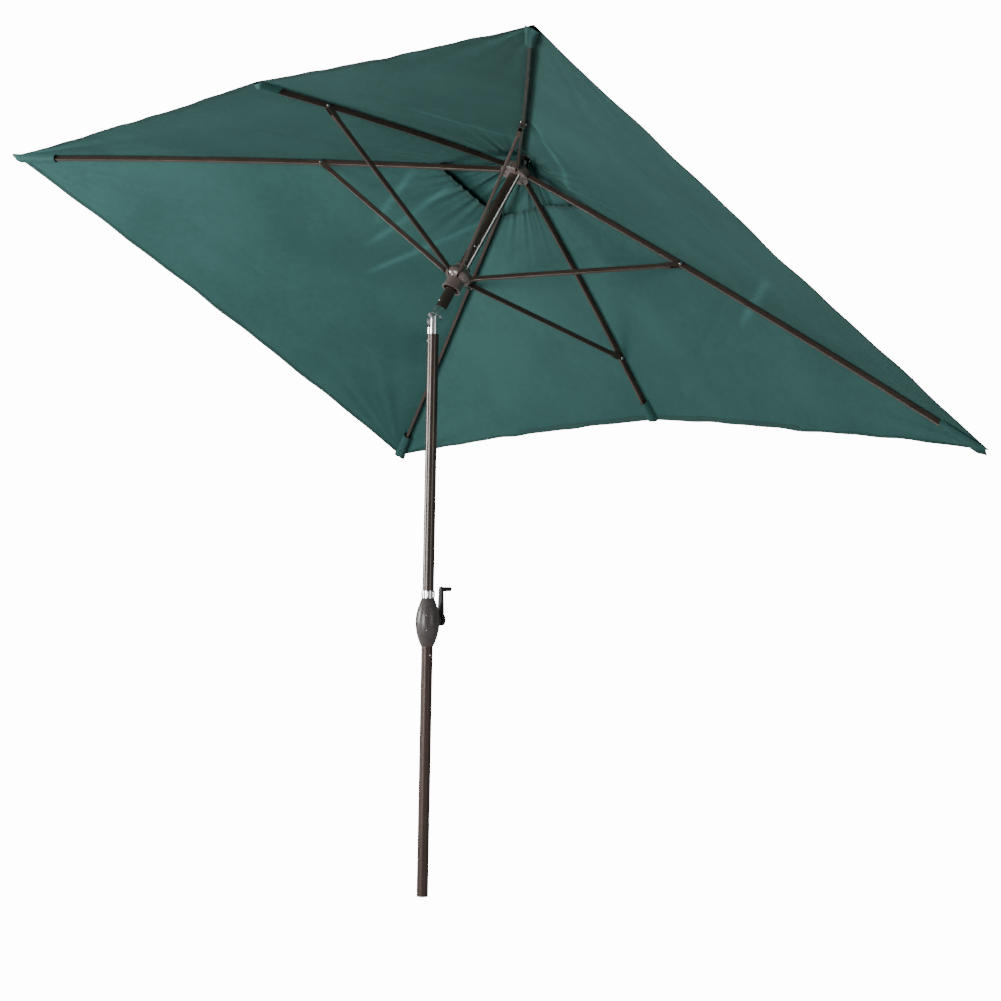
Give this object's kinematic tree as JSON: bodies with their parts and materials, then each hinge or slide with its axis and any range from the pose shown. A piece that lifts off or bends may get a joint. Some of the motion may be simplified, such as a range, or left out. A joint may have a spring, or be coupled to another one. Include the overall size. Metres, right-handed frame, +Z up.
{
  "type": "patio umbrella",
  "caption": "Rectangular patio umbrella, open and tilted, with a crank lift, a push-button tilt, a two-part pole and a vented cloth canopy.",
  "frame": {"origin": "centre of the pole's foot, on its lower end face", "axes": "+Z up the pole; X along the tilt hinge and the canopy's long side; +Y is the way the mast leans, to the canopy's low side"},
  "size_m": [3.21, 1.7018, 2.5892],
  "materials": {
    "bronze_paint": "satin bronze powder coat",
    "knuckle_chrome": "polished",
    "bright_steel": "plated",
    "housing_plastic": "satin",
    "black_plastic": "satin",
    "bronze_plastic": "gloss",
    "grey_plastic": "satin",
    "white_cord": "braided",
    "green_cloth": "woven polyester"
  },
  "bodies": {
    "pole": {"lower_pole": "bronze_paint", "foot_plug": "black_plastic", "middle_pole": "bronze_paint", "pole_joiner": "bright_steel", "pole_rivets": "bright_steel", "housing_back": "housing_plastic", "housing_front": "housing_plastic", "housing_screws": "bright_steel", "housing_collar": "knuckle_chrome", "tilt_socket": "knuckle_chrome", "tilt_pin": "bright_steel", "cord_lower": "white_cord", "snap_spring": "bright_steel"},
    "mast": {"tilt_tongue": "knuckle_chrome", "upper_pole": "bronze_paint", "mast_rivets": "bright_steel", "top_hub": "bronze_plastic", "hub_pins": "bright_steel", "pulley_pin": "bright_steel", "cord_upper": "white_cord", "cord_fall": "white_cord", "finial": "bronze_plastic", "button_spring": "bright_steel", "canopy_vent": "green_cloth"},
    "runner": {"runner_hub": "bronze_plastic", "runner_collar": "bronze_plastic", "runner_screws": "bright_steel", "runner_pins": "bright_steel"},
    "crank": {"crank_spool": "bright_steel", "crank_arm": "black_plastic", "crank_screw": "bright_steel"},
    "crank_knob": {"crank_knob": "black_plastic"},
    "pulley": {"pulley": "bright_steel"},
    "tilt_button": {"tilt_button": "grey_plastic"},
    "snap_button": {"snap_button": "bright_steel"},
    "rib_right_low": {"rib_right_low": "bronze_paint", "rib_rivet_right_low": "bright_steel", "canopy_right_low": "green_cloth"},
    "strut_right_low": {"strut_right_low": "bronze_paint"},
    "rib_mid_low": {"rib_mid_low": "bronze_paint", "rib_rivet_mid_low": "bright_steel", "canopy_mid_low": "green_cloth"},
    "strut_mid_low": {"strut_mid_low": "bronze_paint"},
    "rib_left_low": {"rib_left_low": "bronze_paint", "rib_rivet_left_low": "bright_steel", "canopy_left_low": "green_cloth"},
    "strut_left_low": {"strut_left_low": "bronze_paint"},
    "rib_left_high": {"rib_left_high": "bronze_paint", "rib_rivet_left_high": "bright_steel", "canopy_left_high": "green_cloth"},
    "strut_left_high": {"strut_left_high": "bronze_paint"},
    "rib_mid_high": {"rib_mid_high": "bronze_paint", "rib_rivet_mid_high": "bright_steel", "canopy_mid_high": "green_cloth"},
    "strut_mid_high": {"strut_mid_high": "bronze_paint"},
    "rib_right_high": {"rib_right_high": "bronze_paint", "rib_rivet_right_high": "bright_steel", "canopy_right_high": "green_cloth"},
    "strut_right_high": {"strut_right_high": "bronze_paint"}
  },
  "joints": [
    {"name": "tilt", "type": "hinge", "parent": "pole", "child": "mast", "pos_m": [0, 0, 1.88], "axis": [1, 0, 0], "range_deg": [0, 31.8]},
    {"name": "fold_right_low", "type": "hinge", "parent": "mast", "child": "rib_right_low", "pos_m": [0.03748, 0.33892, 2.38289], "axis": [-0.5238, 0.724, -0.4489], "range_deg": [0, 3.89], "deforming": ["canopy_right_low", "canopy_mid_low", "canopy_left_low", "canopy_left_high", "canopy_mid_high", "canopy_right_high"]},
    {"name": "strut_right_low", "type": "hinge", "parent": "rib_right_low", "child": "strut_right_low", "pos_m": [0.60058, 0.54834, 2.06351], "axis": [-0.5238, 0.724, -0.4489], "range_deg": [-6.45, 0]},
    {"name": "fold_mid_low", "type": "hinge", "parent": "mast", "child": "rib_mid_low", "pos_m": [0, 0.35673, 2.37185], "axis": [-1, 0, 0], "range_deg": [0, 2.56]},
    {"name": "strut_mid_low", "type": "hinge", "parent": "rib_mid_low", "child": "strut_mid_low", "pos_m": [0, 0.77767, 1.79773], "axis": [-1, 0, 0], "range_deg": [-6.44, 0]},
    {"name": "fold_left_low", "type": "hinge", "parent": "mast", "child": "rib_left_low", "pos_m": [-0.03748, 0.33892, 2.38289], "axis": [-0.5238, -0.724, 0.4489], "range_deg": [0, 3.91]},
    {"name": "strut_left_low", "type": "hinge", "parent": "rib_left_low", "child": "strut_left_low", "pos_m": [-0.60058, 0.54834, 2.06351], "axis": [-0.5238, -0.724, 0.4489], "range_deg": [-6.45, 0]},
    {"name": "fold_left_high", "type": "hinge", "parent": "mast", "child": "rib_left_high", "pos_m": [-0.03748, 0.29975, 2.40718], "axis": [0.5238, -0.724, 0.4489], "range_deg": [0, 3.91]},
    {"name": "strut_left_high", "type": "hinge", "parent": "rib_left_high", "child": "strut_left_high", "pos_m": [-0.60058, -0.07944, 2.45275], "axis": [0.5238, -0.724, 0.4489], "range_deg": [-6.45, 0]},
    {"name": "fold_mid_high", "type": "hinge", "parent": "mast", "child": "rib_mid_high", "pos_m": [0, 0.28194, 2.41822], "axis": [1, 0, 0], "range_deg": [0, 2.56]},
    {"name": "strut_mid_high", "type": "hinge", "parent": "rib_mid_high", "child": "strut_mid_high", "pos_m": [0, -0.41947, 2.53998], "axis": [1, 0, 0], "range_deg": [-6.44, 0]},
    {"name": "fold_right_high", "type": "hinge", "parent": "mast", "child": "rib_right_high", "pos_m": [0.03748, 0.29975, 2.40718], "axis": [0.5238, 0.724, -0.4489], "range_deg": [0, 3.91]},
    {"name": "strut_right_high", "type": "hinge", "parent": "rib_right_high", "child": "strut_right_high", "pos_m": [0.60058, -0.07944, 2.45275], "axis": [0.5238, 0.724, -0.4489], "range_deg": [-6.45, 0]},
    {"name": "runner_slide", "type": "slide", "parent": "mast", "child": "runner", "axis": [0, -0.527, -0.8499], "range_m": [0, 0.0742], "deforming": ["cord_fall"]},
    {"name": "crank_turn", "type": "hinge", "parent": "pole", "child": "crank", "pos_m": [0, 0, 0.904], "axis": [0, -1, 0], "range_deg": [0, 382.17]},
    {"name": "pulley_turn", "type": "hinge", "parent": "mast", "child": "pulley", "pos_m": [0.013, 0.33725, 2.42393], "axis": [0, 0.8499, -0.527], "range_deg": [0, 326.35]},
    {"name": "knob_spin", "type": "hinge", "parent": "crank", "child": "crank_knob", "pos_m": [0, 0.07, 1.004], "axis": [0, 1, 0], "continuous": true},
    {"name": "tilt_button_press", "type": "slide", "parent": "mast", "child": "tilt_button", "axis": [0, 0.8499, -0.527], "range_m": [0, 0.004], "stiffness_N_per_m": 600, "springref_m": -0.002, "deforming": ["button_spring"]},
    {"name": "snap_button_press", "type": "slide", "parent": "pole", "child": "snap_button", "axis": [-1, 0, 0], "range_m": [0, 0.0035], "stiffness_N_per_m": 800, "springref_m": -0.002, "deforming": ["snap_spring"]}
  ],
  "couplings": [
    {"joint": "strut_right_low", "follows": "fold_right_low", "ratio": -1.6533},
    {"joint": "fold_mid_low", "follows": "fold_right_low", "ratio": 0.65218},
    {"joint": "strut_mid_low", "follows": "fold_right_low", "ratio": -1.65},
    {"joint": "fold_left_low", "follows": "fold_right_low", "ratio": 1},
    {"joint": "strut_left_low", "follows": "fold_right_low", "ratio": -1.6533},
    {"joint": "fold_left_high", "follows": "fold_right_low", "ratio": 1},
    {"joint": "strut_left_high", "follows": "fold_right_low", "ratio": -1.6533},
    {"joint": "fold_mid_high", "follows": "fold_right_low", "ratio": 0.65218},
    {"joint": "strut_mid_high", "follows": "fold_right_low", "ratio": -1.65},
    {"joint": "fold_right_high", "follows": "fold_right_low", "ratio": 1},
    {"joint": "strut_right_high", "follows": "fold_right_low", "ratio": -1.6533},
    {"joint": "runner_slide", "follows": "fold_right_low", "m_per_rad": 1.0895},
    {"joint": "crank_turn", "follows": "fold_right_low", "ratio": 98.153},
    {"joint": "pulley_turn", "follows": "fold_right_low", "ratio": 83.807}
  ]
}
